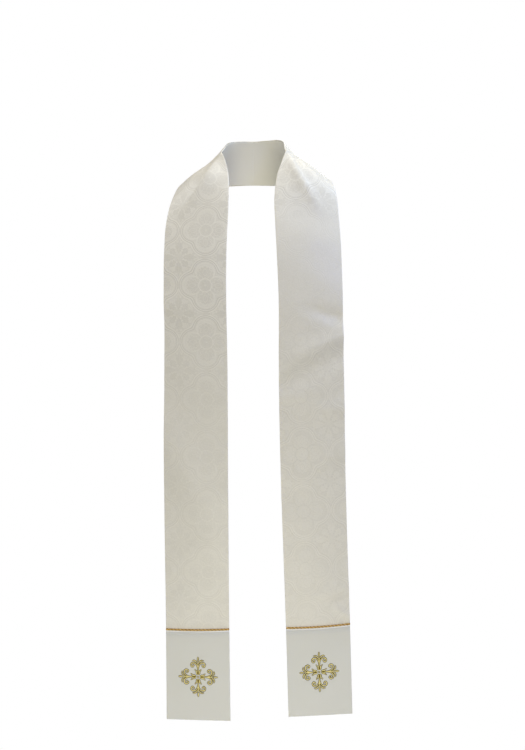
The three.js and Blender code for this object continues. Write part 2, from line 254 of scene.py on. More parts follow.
class Half:
    """One half of the stole: its middle surface and points at any height over it, in millimetres."""

    def __init__(self, name):
        self.name = name
        self.side = 1 if name == "left" else -1
        self.inner = Edge(EDGES[name, "inner"], self.side)
        self.outer = Edge(EDGES[name, "outer"], self.side)
        self.length = self.outer.length
        self.panel = END_PANEL[name]
        self.panel_height = (self.panel["inner"] + self.panel["outer"]) / 2
        self.seam = self.length - self.panel_height

    def seam_shift(self, along, across):
        """How far the cloth's lines across the band are moved down, so that the seam is one of them."""
        fade_in = smoothstep(along, self.seam - SEAM_FADE["above"], self.seam)
        fade_out = 1 - smoothstep(along, self.seam, self.seam + SEAM_FADE["below"])
        slant = (self.panel["inner"] - self.panel["outer"]) * (across - 0.5)
        return fade_in * fade_out * (slant + self.panel["sag"] * 4 * across * (1 - across))

    def places(self, along):
        """Where a line across the band meets the inner and the outer edge."""
        shorter = self.outer.length - self.inner.length
        return along - shorter * smoothstep(along, 0, SHAPED_LENGTH), along

    def edges(self, along):
        inner, outer = self.places(along)
        return self.inner.at(inner), self.outer.at(outer)

    def creases(self, along, across):
        height = 0
        for _, start, end, rise, spread in FOLDS[self.name] + CREASES[self.name]:
            run = np.array([end[0] - start[0], (end[1] - start[1]) * BAND_WIDTH])
            away = np.stack([along - start[0], (across - start[1]) * BAND_WIDTH], -1)
            share = np.clip(away @ run / (run @ run), 0, 1)
            distance = np.linalg.norm(away - share[..., None] * run, axis=-1)
            height = height + rise * (1 - share**2) * np.exp(-((distance / spread) ** 2))
        return height

    def slack(self, along, across):
        fade = smoothstep(along, *SLACK_FADE)
        height = 0
        for rise, length_along, length_across, start in SLACK:
            turn = along / length_along + across * BAND_WIDTH / length_across + self.side * SLACK_SHIFT
            height = height + rise * np.sin(2 * math.pi * turn + start)
        return fade * height

    def middle(self, row, across):
        along = row + self.seam_shift(row, across)
        inner, outer = self.edges(along)
        before = self.edges(np.maximum(0, along - NEAR))
        after = self.edges(np.minimum(self.length, along + NEAR))
        width = outer - inner
        run = after[0] + after[1] - before[0] - before[1]
        outwards = unit(np.cross(run, width)) * self.side
        height = smooth_rows(BOW, along) * 4 * across * (1 - across)
        height = height + self.creases(along, across) + self.slack(along, across)
        return inner + width * across[..., None] + outwards * height[..., None]

    def normal(self, along, across):
        near = NEAR / BAND_WIDTH
        run = self.middle(np.minimum(self.length, along + NEAR), across)
        run = run - self.middle(np.maximum(0, along - NEAR), across)
        width = self.middle(along, across + near) - self.middle(along, across - near)
        return unit(np.cross(run, width)) * self.side

    def point(self, along, across, height):
        along, across, height = np.broadcast_arrays(*(np.asarray(v, float) for v in (along, across, height)))
        return self.middle(along, across) + self.normal(along, across) * height[..., None]

    def width(self, along):
        inner, outer = self.edges(along)
        return np.linalg.norm(outer - inner, axis=-1)

    def cut(self, row, across):
        """Place on the flat cloth: across from the inner edge's straight grain line, and up from the seam."""
        along = row + self.seam_shift(row, across)
        inner, outer = self.places(along)
        up = (1 - across) * (self.inner.length - inner) + across * (self.outer.length - outer)
        sideways = (across - 0.5) * self.width(along) + BAND_WIDTH / 2
        return np.stack([sideways, up - self.panel_height], -1)

    def trim(self, row, across):
        """Place beside the sewn edges: from the nearer side of the band, and down from the seam."""
        sideways = (0.5 - np.abs(across - 0.5)) * self.width(row)
        return np.stack([sideways, row - self.seam], -1)


def add_object(name, data):
    made = bpy.data.objects.new(name, data)
    bpy.context.scene.collection.objects.link(made)
    return made


def add_mesh(name, points, faces, layers, material):
    """A smooth mesh from points in millimetres. layers holds named UVs in millimetres, one for each point."""
    mesh = bpy.data.meshes.new(name)
    mesh.from_pydata((points * MM).tolist(), [], faces.tolist() if hasattr(faces, "tolist") else faces)
    mesh.polygons.foreach_set("use_smooth", np.ones(len(mesh.polygons), bool))
    corners = np.zeros(len(mesh.loops), np.int32)
    mesh.loops.foreach_get("vertex_index", corners)
    for layer_name, places in layers.items():
        layer = mesh.uv_layers.new(name=layer_name)
        layer.data.foreach_set("uv", (places[corners] * MM).astype(np.float32).ravel())
    mesh.materials.append(material)
    mesh.update()
    return add_object(name, mesh)


RIM = np.array([0.0, 0.03, 0.12, 0.28, 0.5, 0.75, 1.0])  # stations round a rounded rim, as shares of it
RIM_SHARE = 0.65  # width of the rim as a share of the cloth's thickness


def stations(start, end, rim):
    """Stations from start to end with cells of one size, and closer ones in a rounded rim at both ends."""
    count = max(2, int(round((end - start - 2 * rim) / CELL)))
    middle = np.linspace(start + rim, end - rim, count + 1)
    return np.concatenate([start + RIM[:-1] * rim, middle, end - RIM[:-1][::-1] * rim])


def closed_cloth(name, half, alongs, inset, base, thick, relief, material):
    """A thin cloth with rounded rims: its two faces meet all round. relief lifts the outer face."""
    rim = thick * RIM_SHARE
    across_mm = stations(inset, BAND_WIDTH - inset, rim)
    along, across = np.meshgrid(alongs, across_mm / BAND_WIDTH, indexing="ij")
    from_ends = np.minimum(along - alongs[0], alongs[-1] - along)
    from_sides = np.minimum(across_mm - inset, BAND_WIDTH - inset - across_mm)[None, :]
    depth = np.clip(np.minimum(from_ends, from_sides) / rim, 0, 1)
    round_off = np.sqrt(1 - (1 - depth) ** 2)
    centre = base + thick / 2
    lift = relief(along, from_sides + 0 * along) * round_off
    outer = half.point(along, across, centre + round_off * thick / 2 + lift)
    inner = half.point(along, across, centre - round_off * thick / 2)
    rows, columns = along.shape
    number = np.arange(rows * columns).reshape(rows, columns)
    behind = number + rows * columns
    rim_mask = np.zeros((rows, columns), bool)
    rim_mask[[0, -1], :] = True
    rim_mask[:, [0, -1]] = True
    behind[rim_mask] = number[rim_mask]
    used, compact = np.unique(np.concatenate([number.ravel(), behind.ravel()]), return_inverse=True)
    number = compact[: rows * columns].reshape(rows, columns)
    behind = compact[rows * columns :].reshape(rows, columns)
    cells = [number[:-1, :-1], number[1:, :-1], number[1:, 1:], number[:-1, 1:]]
    back_cells = [behind[:-1, :-1], behind[:-1, 1:], behind[1:, 1:], behind[1:, :-1]]
    faces = np.concatenate([np.stack(c, -1).reshape(-1, 4) for c in (cells, back_cells)])
    if half.side < 0:
        faces = faces[:, ::-1]
    points = np.concatenate([outer.reshape(-1, 3), inner.reshape(-1, 3)])[used]
    cut = half.cut(along, across).reshape(-1, 2)
    trim = half.trim(along, across).reshape(-1, 2)
    layers = {"cut": np.concatenate([cut, cut])[used], "trim": np.concatenate([trim, trim])[used]}
    return add_mesh(name, points, faces, layers, material)


def bulge(distance, middle, spread, height):
    return height * np.exp(-(((distance - middle) / spread) ** 2))


def edge_roll(along, from_side):
    """The turned edge stands a little proud of the band."""
    return bulge(from_side, *EDGE_ROLL)


def damask_band(half, material):
    name = f"damask_band_{half.name}"
    alongs = stations(SEAM_GAP / 2, half.seam - SEAM_GAP / 2, DAMASK_THICK * RIM_SHARE)
    return closed_cloth(name, half, alongs, 0, LAYER_GAP / 2, DAMASK_THICK, edge_roll, material)


def end_panel(half, material):
    name = f"end_panel_{half.name}"
    turning_end = half.seam + SEAM_TURNING + TURNING_CELLS_PAST
    turning = np.arange(half.seam + DAMASK_THICK, turning_end, TURNING_CELL)
    start = stations(half.seam + SEAM_GAP / 2, half.length, DAMASK_THICK * RIM_SHARE)
    rim_part = start[start < turning[0]]
    alongs = np.concatenate([rim_part, turning, start[start > turning_end]])

    def relief(along, from_side):
        under_seam = along - half.seam
        fall = SEAM_TURNING - TURNING_FALL["before"], SEAM_TURNING + TURNING_FALL["after"]
        turned = TURNING_RISE * (1 - smoothstep(under_seam, *fall))
        white_line_rise = bulge(under_seam, WHITE_LINE_MIDDLE, WHITE_LINE_WIDTH / 2, WHITE_LINE_RISE)
        hem = bulge(half.length - along, *HEM_ROLL)
        return edge_roll(along, from_side) + turned + white_line_rise + hem

    return closed_cloth(name, half, alongs, 0, LAYER_GAP / 2, DAMASK_THICK, relief, material)


def lining_cloth(half, material):
    name = f"lining_cloth_{half.name}"
    alongs = stations(SEAM_GAP / 2, half.length - LINING_INSET, LINING_THICK * RIM_SHARE)
    base = -LAYER_GAP / 2 - LINING_THICK

    def relief(along, from_side):
        return 0 * along

    return closed_cloth(name, half, alongs, LINING_INSET, base, LINING_THICK, relief, material)


def tube_faces(rows, sides, first=0):
    """Quads round a tube with an end cap at each end. Its points are rows of sides, then two end points."""
    row, side = np.meshgrid(np.arange(rows - 1), np.arange(sides), indexing="ij")
    following = (side + 1) % sides
    here, there = row * sides, (row + 1) * sides
    quads = np.stack([here + side, here + following, there + following, there + side], -1)
    faces = (quads.reshape(-1, 4) + first).tolist()
    start, end = rows * sides, rows * sides + 1
    for i in range(sides):
        j = (i + 1) % sides
        faces.append([start + first, j + first, i + first])
        faces.append([end + first, (rows - 1) * sides + i + first, (rows - 1) * sides + j + first])
    return faces


def round_section(up, beside, sides):
    """Vectors of length 1 round a tube, for each point of its line."""
    around = 2 * math.pi * np.arange(sides) / sides
    return np.cos(around)[:, None] * up[:, None, :] + np.sin(around)[:, None] * beside[:, None, :]


PLIES = 2
PLY_RADIUS = 1.08
TWIST_LENGTH = 7.0  # one turn of the piping's plies
PLY_STEPS = 420
PLY_SIDES = 12
PLY_ENDS = (0.002, 0.998)  # as shares of the band's width
PLY_TIP = 0.4  # length of their round tips


def piping(half, material):
    """A cord of two twisted plies that lies on the seam from edge to edge."""
    across = np.linspace(*PLY_ENDS, PLY_STEPS)
    along = np.full(PLY_STEPS, half.seam)
    line = half.point(along, across, DAMASK_OUTSIDE + PIPING_RADIUS)
    up = half.normal(along, across)
    forward = unit(np.gradient(line, axis=0))
    beside = np.cross(forward, up)
    ring = PLY_RADIUS * round_section(up, beside, PLY_SIDES)
    turns = lengths_along(line) / TWIST_LENGTH
    offset = PIPING_RADIUS - PLY_RADIUS
    points, faces, plies = [], [], []
    for ply in range(PLIES):
        angle = 2 * math.pi * (turns + ply / PLIES)
        centre = line + offset * (np.cos(angle)[:, None] * up + np.sin(angle)[:, None] * beside)
        first = sum(len(p) for p in points)
        body = (centre[:, None, :] + ring).reshape(-1, 3)
        points.append(np.vstack([body, centre[0] - PLY_TIP * forward[0], centre[-1] + PLY_TIP * forward[-1]]))
        faces += tube_faces(PLY_STEPS, PLY_SIDES, first)
        plies.append(np.full((len(points[-1]), 2), float(ply)))
    layers = {"ply": np.vstack(plies)}
    return add_mesh(f"twisted_piping_{half.name}", np.vstack(points), faces, layers, material)


# Strokes of one arm of the cross, pointing up from its centre, in millimetres.
# Columns: name, paired, widths at the start, in the middle and at the end, dome height, points
STROKES = [
    ("stem", False, (1.2, 3.2, 1.7), 0.95, [(0, 12), (0, 20), (0, 27)]),
    ("petal", True, (1.1, 2.7, 1.1), 1.1, [(0.5, 3.6), (2.6, 7.2), (1.0, 12.6)]),
    ("thorn", True, (1.9, 1.7, 0.4), 0.95, [(1.9, 9.0), (4.2, 11.4), (6.4, 14.6)]),
    ("crest", True, (1.5, 2.3, 1.0), 1.3, [(0.5, 25.4), (3.4, 29.4), (7.4, 31.6), (11.2, 30.8)]),
    (
        "scroll",
        True,
        (1.2, 2.6, 1.9),
        1.2,
        [(1.0, 19.0), (3.2, 24.0), (7.4, 27.0), (12, 26.2), (13.8, 22.6), (11.6, 19.2), (8.8, 20.2)],
    ),
    ("eye", True, (1.5, 2.1, 1.1), 1.1, [(9.3, 20.0), (8.5, 22.0), (10.2, 23.2)]),
    ("spear", False, (1.4, 2.9, 0.4), 1.1, [(0, 29.5), (0, 33), (0, 39)]),
]
# Painted shadow between two petals: a low dark stroke where shade falls between them
PETAL_GAP_SHADOW_ROUTE = [(0, 4.8), (0, 7.2), (0, 10.0)]
PETAL_GAP_SHADOW_WIDTHS = (0.9, 2.0, 0.8)
PETAL_GAP_SHADOW_DOME = 0.3
PETAL_GAP_SHADOW_TONE = 0.06
# The knot in the middle of the cross
RING_RADIUS = 0.6
RING_WIDTH = 1.5
RING_DOME = 0.9
RING_POINTS = 13
RING_SEED = 7
ARMS = 4

THREAD_PITCH = 0.42  # width of one satin stitch
FEWEST_THREADS = 4
STEPS_PER_THREAD = 4
THREAD_COLUMNS = 9
THREAD_RELIEF = 0.09
THREAD_SLANT = 0.35  # lean of the stitches, as a share of the stroke's half width
THREAD_RAGGED = 0.1  # how unequal the stitches are in length
STROKE_TAPER = 0.8  # a stroke sinks over this length at its ends
STROKE_BLUNT = 0.25  # height that it keeps at its ends, as a share
FULL_WIDTH = 3  # a stroke nearly this wide has its full dome
THINNEST_DOME = 0.3  # height of the thinnest stroke, as a share
STROKE_FOOT = -0.15
SHADOW_APRON = 0.6  # painted shadow: a low dark edge round each stroke, where shade falls between strokes
SHADOW_APRON_HEIGHT = 0.12


def even_points(line, count):
    """Points evenly spaced along a flat line, the line's directions there, and their places along it."""
    lengths = lengths_along(line)
    place = np.linspace(0, lengths[-1], count)
    even = np.stack([np.interp(place, lengths, line[:, axis]) for axis in range(2)], -1)
    return even, unit(np.gradient(even, axis=0)), place


def stroke_widths(place, widths, threads, seed):
    """The stroke's width at each place, a little unequal from stitch to stitch."""
    share = place / place[-1]
    start, centre, end = widths
    base = np.where(share < 0.5, start, end)
    smooth = base + (centre - base) * np.sin(math.pi * share)
    ragged = np.random.default_rng(seed).uniform(-THREAD_RAGGED, THREAD_RAGGED, threads + 2)
    return smooth + ragged[(place / THREAD_PITCH).astype(int).clip(0, threads + 1)]


def stroke_heights(place, lane, width, dome):
    """The domed top of a stroke, with a ridge for each stitch. lane goes from -1 to 1 across it."""
    from_end = np.minimum(place, place[-1] - place)
    close = np.minimum(1, from_end / STROKE_TAPER + STROKE_BLUNT)
    crown = np.sqrt(np.clip(1 - lane**2, 0, 1))
    ridges = THREAD_RELIEF * np.abs(np.cos(math.pi * place / THREAD_PITCH))[:, None]
    rise = dome * np.minimum(1, width / FULL_WIDTH + THINNEST_DOME)
    return close[:, None] * crown * (rise + ridges)


def stitched_stroke(points, widths, dome, seed):
    """A satin stitch stroke: flat places with heights, its faces, and how far in each place lies."""
    line = catmull_rom(np.array(points, float))
    threads = max(FEWEST_THREADS, int(lengths_along(line)[-1] / THREAD_PITCH))
    count = threads * STEPS_PER_THREAD + 1
    spine, direction, place = even_points(line, count)
    side = np.stack([-direction[:, 1], direction[:, 0]], -1)
    width = stroke_widths(place, widths, threads, seed)[:, None]
    lane = np.concatenate([[-1], np.linspace(-1, 1, THREAD_COLUMNS), [1]])
    # the low dark apron round the stroke, a painted shadow
    shadow_apron = np.zeros(len(lane))
    shadow_apron[[0, -1]] = -SHADOW_APRON, SHADOW_APRON
    across = lane * width / 2 + shadow_apron
    lean = THREAD_SLANT * np.abs(lane) * width / 2
    flat = spine[:, None, :] + side[:, None, :] * across[..., None] + direction[:, None, :] * lean[..., None]
    top = stroke_heights(place, lane, width, dome) + SHADOW_APRON_HEIGHT * (shadow_apron == 0)
    inside = np.where(shadow_apron == 0, 1 - np.abs(lane), -1) + 0 * width
    lower = np.dstack([flat[:, 1:-1], np.full((count, THREAD_COLUMNS), STROKE_FOOT)])
    around = np.concatenate([np.dstack([flat, top]), lower[:, ::-1]], axis=1)
    shade = np.concatenate([inside, inside[:, 1:-1][:, ::-1]], axis=1)
    ends = np.array([around[0].mean(0), around[-1].mean(0)])
    shades = np.concatenate([shade.ravel(), [0, 0]])
    return np.vstack([around.reshape(-1, 3), ends]), tube_faces(count, around.shape[1]), shades


def turned(points, quarter):
    """Flat places turned by quarter turns about the cross's centre."""
    cosine, sine = math.cos(math.pi / 2 * quarter), math.sin(math.pi / 2 * quarter)
    return points @ np.array([[cosine, sine, 0], [-sine, cosine, 0], [0, 0, 1]])


def cross_strokes():
    """Every stroke of the flat cross: its points, its faces and how far in each point lies."""
    strokes = []
    for quarter in range(ARMS):
        for number, (_, paired, widths, dome, route) in enumerate(STROKES):
            for mirror in (-1, 1) if paired else (1,):
                mirrored = [(mirror * x, y) for x, y in route]
                seed = 31 * quarter + 5 * number + mirror + 1
                points, faces, shades = stitched_stroke(mirrored, widths, dome, seed)
                strokes.append((turned(points, quarter), faces, shades))
        # painted shadow between the petals
        points, faces, shades = stitched_stroke(PETAL_GAP_SHADOW_ROUTE, PETAL_GAP_SHADOW_WIDTHS, PETAL_GAP_SHADOW_DOME, quarter)
        strokes.append((turned(points, quarter), faces, 0 * shades + PETAL_GAP_SHADOW_TONE))
    angles = np.linspace(0, 2 * math.pi, RING_POINTS)
    ring = [(RING_RADIUS * math.sin(angle), RING_RADIUS * math.cos(angle)) for angle in angles]
    strokes.append(stitched_stroke(ring, (RING_WIDTH,) * 3, RING_DOME, RING_SEED))
    return strokes


def embroidered_cross(half, material):
    points, faces, shades = [], [], []
    count = 0
    for stroke_points, stroke_faces, stroke_shades in cross_strokes():
        points.append(stroke_points)
        shades.append(stroke_shades)
        faces += [[corner + count for corner in face] for face in stroke_faces]
        count += len(stroke_points)
    flat = np.vstack(points)
    inside = np.concatenate(shades)
    along = half.length - CROSS_ABOVE_END - flat[:, 1]
    across = CROSS_ACROSS + half.side * flat[:, 0] / BAND_WIDTH
    placed = half.point(along, across, DAMASK_OUTSIDE + flat[:, 2])
    layers = {"stitch": np.stack([inside, inside], -1)}  # 1 on a crown, 0 at its foot, -1 on the painted shadow apron
    return add_mesh(f"embroidery_{half.name}", placed, faces, layers, material)


STITCH_STEP = 6.0  # slip stitches that hold the lining
STITCH_START = 8
STITCH_LENGTH = 2.2
STITCH_RADIUS = 0.22
STITCH_SIDES = 6
STITCH_SHARES = np.array([0.0, 0.15, 0.5, 0.85, 1.0])  # rings along a stitch
STITCH_TAPER = np.array([0.35, 0.9, 1.0, 0.9, 0.35])
STITCH_OUTSIDE = 0.2  # how far outside the lining's edge they lie
STITCH_DEPTH = 0.55


def slip_stitches(half, material):
    """Small stitches along the lining's edges, on the inside."""
    rings = len(STITCH_SHARES)
    points, faces = [], []
    for edge in (LINING_INSET - STITCH_OUTSIDE, BAND_WIDTH - LINING_INSET + STITCH_OUTSIDE):
        for place in np.arange(STITCH_START, half.length - STITCH_START, STITCH_STEP):
            along = place + STITCH_SHARES * STITCH_LENGTH
            across = np.full(rings, edge / BAND_WIDTH)
            line = half.point(along, across, -LAYER_GAP / 2 - STITCH_DEPTH)
            up = half.normal(along, across)
            beside = unit(np.cross(np.gradient(line, axis=0), up))
            ring = (STITCH_RADIUS * STITCH_TAPER)[:, None, None] * round_section(up, beside, STITCH_SIDES)
            first = len(points) * (rings * STITCH_SIDES + 2)
            points.append(np.vstack([(line[:, None, :] + ring).reshape(-1, 3), line[0], line[-1]]))
            faces += tube_faces(rings, STITCH_SIDES, first)
    return add_mesh(f"slip_stitches_{half.name}", np.vstack(points), faces, {}, material)


class Value:
    """A number worked out by a material's nodes, written like arithmetic."""

    def __init__(self, tree, socket):
        self.tree = tree
        self.socket = socket

    def math(self, operation, *others, clamp=False):
        node = self.tree.nodes.new("ShaderNodeMath")
        node.operation = operation
        node.use_clamp = clamp
        for slot, other in zip(node.inputs, (self, *others)):
            if isinstance(other, Value):
                self.tree.links.new(other.socket, slot)
            else:
                slot.default_value = other
        return Value(self.tree, node.outputs[0])

    def __add__(self, other):
        return self.math("ADD", other)

    def __sub__(self, other):
        return self.math("SUBTRACT", other)

    def __mul__(self, other):
        return self.math("MULTIPLY", other)

    def abs(self):
        return self.math("ABSOLUTE")

    def larger(self, other):
        return self.math("MAXIMUM", other)

    def smaller(self, other):
        return self.math("MINIMUM", other)

    def clamp(self):
        return self.math("ADD", 0.0, clamp=True)

    def painted(self, mask, tone):
        """The value with a tone painted over it where mask is 1."""
        return self - (self - tone) * mask


def radius(x, y):
    return (x * x + y * y).math("SQRT")


def above(value, edge, soft=0.4):
    """1 where value is over edge and 0 under it, with a soft step."""
    return ((value - edge) * (0.5 / soft) + 0.5).clamp()


def under(value, edge, soft=0.4):
    return ((value - edge) * (-0.5 / soft) + 0.5).clamp()


def line(distance, width):
    """1 on a line of that width where distance is 0."""
    return under(distance.abs(), width / 2)


def oval(x, y, at, radii, turn=0.0):
    """Below 1 inside an oval at a place, turned by an angle."""
    dx, dy = x - at[0], y - at[1]
    c, s = math.cos(turn), math.sin(turn)
    return radius((dx * c + dy * s) * (1 / radii[0]), (dy * c - dx * s) * (1 / radii[1]))


def leaf(x, y, at, radii, turn=0.0):
    """1 inside a leaf."""
    return under(oval(x, y, at, radii, turn), 1.0, 0.5 / min(radii))


# The damask's repeat on the flat cloth, in millimetres
REPEAT_ACROSS = 107.0
REPEAT_ALONG = 112.0
COLUMN_AT = 41.2  # medallion centres, from the band's inner edge
LOBE_AT = 26.0  # lobe centres, from the medallion's centre
OUTLINE = 26.0  # radius of a lobe's outline
SOFT_CORNER = 14.0  # rounds the corner between two lobes
CRESCENT = 18.8  # outer radius of the crescent in a lobe
FIELD_AT, FIELD_RADII = (-3.4, 0.0), (15.4, 16.4)  # the crescent's inner edge, an oval
HEART = 12.8
BEADS_AT = 20.9
BEADS = 30.0  # in a full turn
SCALLOPS, SCALLOP_DEPTH = 7.0, 0.08
SHINE, SOFT_SHINE, MIDDLE, MAT, DEEP, LINE = 1.05, 0.72, 0.5, 0.37, 0.24, -0.05  # tones of the weave
# Rings inside a medallion's edge. Columns: radius, width, tone
RINGS = [(OUTLINE, 1.8, LINE), (24.2, 1.3, SHINE), (22.6, 1.4, LINE)]


def squares(x, y, waves):
    """A grid of soft squares, 1 in their middles and 0 between them."""
    return ((x * waves).math("SINE") * (y * waves).math("SINE")).abs()


def medallion(x, y, edge):
    """A quatrefoil: outlines and beads, and in each lobe a crescent round a leaf, about a heart."""
    far, close = x.larger(y), x.smaller(y)
    out = far - LOBE_AT
    lobe = radius(out, close)
    angle = close.math("ARCTAN2", out)
    tone = edge * 0.0 + MIDDLE
    for place, width, shade in RINGS:
        tone = tone.painted(line(edge - place, width), shade)
    beads = line(edge - BEADS_AT, 1.1) * above((angle * BEADS).math("SINE"), 0.0)
    tone = tone.painted(beads, SOFT_SHINE)
    tone = tone.painted(under(lobe, CRESCENT), SOFT_SHINE)
    scallops = (angle * SCALLOPS).math("COSINE").abs() * SCALLOP_DEPTH
    tone = tone.painted(under(oval(out, close, FIELD_AT, FIELD_RADII) + scallops, 1.0, 0.04), MAT)
    tone = tone.painted(line(lobe - CRESCENT, 1.1), SHINE)
    return heart(palmette(tone, out, close, lobe, angle), x, y)


FAN_LEAVES, FAN_LEAF = 4.5, 3.4  # leaves in half a turn, and how far they stand out
FAN = 9.0  # radius of the fan between its leaves
BUD_RADII = (8.0, 5.0)


def palmette(tone, out, close, lobe, angle):
    """A round fan of leaves in a lobe, about a pointed bud with a light rim and vein."""
    fan = lobe - (angle * FAN_LEAVES).math("COSINE").abs() * FAN_LEAF
    tone = tone.painted(under(fan, FAN), DEEP)
    tone = tone.painted(line(fan - 9.4, 0.9), SHINE)
    veins = above((angle * 18.0).math("SINE"), 0.2, 0.5) * above(lobe, 6.4)
    tone = tone.painted(veins * under(lobe, 10.4) * 0.7, MIDDLE)
    bud = oval(out, close, (0.0, 0.0), BUD_RADII) + out.abs() * close * 0.006
    tone = tone.painted(under(bud, 1.0, 0.08), SOFT_SHINE)
    tone = tone.painted(under(bud, 0.78, 0.08), DEEP)
    return tone.painted(line(close, 0.9) * under(out.abs(), 5.0), MIDDLE)


ROSETTE, ROSETTE_PETAL = 6.4, 4.2  # its radius between the petals, and how far these stand out


def heart(tone, x, y):
    """The round centre of a medallion, with a rosette."""
    away = radius(x, y)
    turn = y.math("ARCTAN2", x)
    tone = tone.painted(under(away, HEART), MAT)
    petals = under(away - (turn * 4.0).math("COSINE").abs() * ROSETTE_PETAL, ROSETTE)
    tone = tone.painted(petals * above(away, 2.6), DEEP)
    tone = tone.painted(line(away - HEART, 1.3), SHINE)
    return tone.painted(under(away, 1.6), SOFT_SHINE)


# The flower between four medallions. Columns: on the diagonal, place outwards, radii
FLOWER_LEAVES = [
    (False, 21.5, (15.0, 9.4)),
    (False, 34.0, (4.6, 2.4)),
    (True, 17.6, (10.2, 8.6)),
    (True, 28.2, (3.4, 2.2)),
]
TEETH, TOOTH_DEPTH = 1.05, 0.3
LATTICE = 8.0  # radius of the lattice


def flower(tone, x, y, edge):
    """Toothed leaves about a lattice, in a light border with dots. x and y are from its centre."""
    far, close = x.larger(y), x.smaller(y)
    slant, aside = (x + y) * math.sqrt(0.5), (x - y) * math.sqrt(0.5)
    away = radius(x, y)
    tone = tone.painted(above(edge, OUTLINE + 0.85), SOFT_SHINE)
    tone = tone.painted(line(edge - 28.0, 1.8), SHINE)
    dots = line(edge - 30.6, 2.6) * above(squares(x, y, 1.0), 0.4, 0.2)
    tone = tone.painted(dots, DEEP)
    for diagonal, place, radii in FLOWER_LEAVES:
        run, side = (slant, aside) if diagonal else (far, close)
        teeth = (run * TEETH).math("SINE").abs() * TOOTH_DEPTH
        reach = (run - place) * (1 / radii[0])
        rim = reach * reach + side.abs() * (1 / radii[1]) + teeth
        tone = tone.painted(under(rim, 1.16, 0.06), SHINE)
        tone = tone.painted(under(rim, 1.02, 0.06), DEEP)
        tone = tone.painted(line(side, 0.8) * under((run - place).abs(), radii[0] * 0.6), MIDDLE)
    tone = tone.painted(leaf(far, close, (28.6, 6.2), (4.2, 2.2), 0.7), MAT)
    tone = tone.painted(leaf(far, close, (13.6, 6.6), (1.4, 1.4)), SHINE)
    tone = tone.painted(under(away, LATTICE), SOFT_SHINE)
    return tone.painted(under(away, LATTICE) * above(squares(x, y, 1.5), 0.35, 0.2), DEEP)


def damask_tone(across, up):
    """The weave's tone, from LINE to SHINE, at a place on the flat cloth."""
    x = (across - COLUMN_AT).math("PINGPONG", REPEAT_ACROSS / 2)
    y = up.math("PINGPONG", REPEAT_ALONG / 2)
    from_x = x * -1.0 + REPEAT_ACROSS / 2
    from_y = y * -1.0 + REPEAT_ALONG / 2
    edge = radius(x - LOBE_AT, y).math("SMOOTH_MIN", radius(x, y - LOBE_AT), SOFT_CORNER)
    tone = medallion(x, y, edge)
    tone = flower(tone, from_x, from_y, edge)
    knots = leaf(x, from_y, (0.0, 0.0), (8.6, 3.6)).larger(leaf(from_x, y, (0.0, 0.0), (2.4, 7.6)))
    return tone.painted(knots * above(squares(x, y, 1.9), 0.2, 0.2), DEEP)


def first_two(tree, vector):
    """The x and y values of a vector."""
    split = tree.nodes.new("ShaderNodeSeparateXYZ")
    tree.links.new(vector, split.inputs[0])
    return [Value(tree, split.outputs[axis]) for axis in (0, 1)]


def flat_place(tree, layer):
    """The two values of a named UV layer, in millimetres."""
    uv = tree.nodes.new("ShaderNodeUVMap")
    uv.uv_map = layer
    return [value * (1 / MM) for value in first_two(tree, uv.outputs["UV"])]


def rising(value, rows):
    """A value that goes straight from row to row of a table of (place, value)."""
    result = value * 0.0 + rows[0][1]
    for (start, low), (end, high) in zip(rows, rows[1:]):
        share = ((value - start) * (1 / (end - start))).clamp()
        result = result + share * (high - low)
    return result


def set_inputs(node, values):
    for name, value in values.items():
        node.inputs[name].default_value = value


def mix_shaders(tree, share, first, second, output):
    """Shows the first shader where share is 0 and the second where it is 1."""
    blend = tree.nodes.new("ShaderNodeMixShader")
    for socket, target in zip((share, first, second), blend.inputs):
        tree.links.new(socket, target)
    tree.links.new(blend.outputs[0], tree.nodes[output].inputs["Surface"])


def new_material(name):
    material = bpy.data.materials.new(name)
    material.use_nodes = True
    tree = material.node_tree
    return material, tree, tree.nodes["Principled BSDF"]


def object_place(tree):
    return tree.nodes.new("ShaderNodeTexCoord").outputs["Object"]


def noise(tree, scale, detail=2.0):
    node = tree.nodes.new("ShaderNodeTexNoise")
    set_inputs(node, {"Scale": scale, "Detail": detail})
    tree.links.new(object_place(tree), node.inputs["Vector"])
    return Value(tree, node.outputs["Fac"])


def mix_colors(tree, share, low, high):
    node = tree.nodes.new("ShaderNodeMix")
    node.data_type = "RGBA"
    for slot, color in ((node.inputs["A"], low), (node.inputs["B"], high)):
        if isinstance(color, tuple):
            slot.default_value = (*color, 1)
        else:
            tree.links.new(color, slot)
    tree.links.new(share.socket, node.inputs["Factor"])
    return node.outputs["Result"]


def link_looks(tree, shader, color, rough):
    tree.links.new(color, shader.inputs["Base Color"])
    tree.links.new(rough.socket, shader.inputs["Roughness"])


# How far each cloth's grain stands out, in metres
DAMASK_RELIEF, SATIN_RELIEF, TWILL_RELIEF, FLECK_RELIEF = 0.00012, 0.00005, 0.00006, 0.00008


def bump(tree, shader, height, distance):
    node = tree.nodes.new("ShaderNodeBump")
    set_inputs(node, {"Strength": 1.0, "Distance": distance})
    tree.links.new(height.socket, node.inputs["Height"])
    tree.links.new(node.outputs["Normal"], shader.inputs["Normal"])


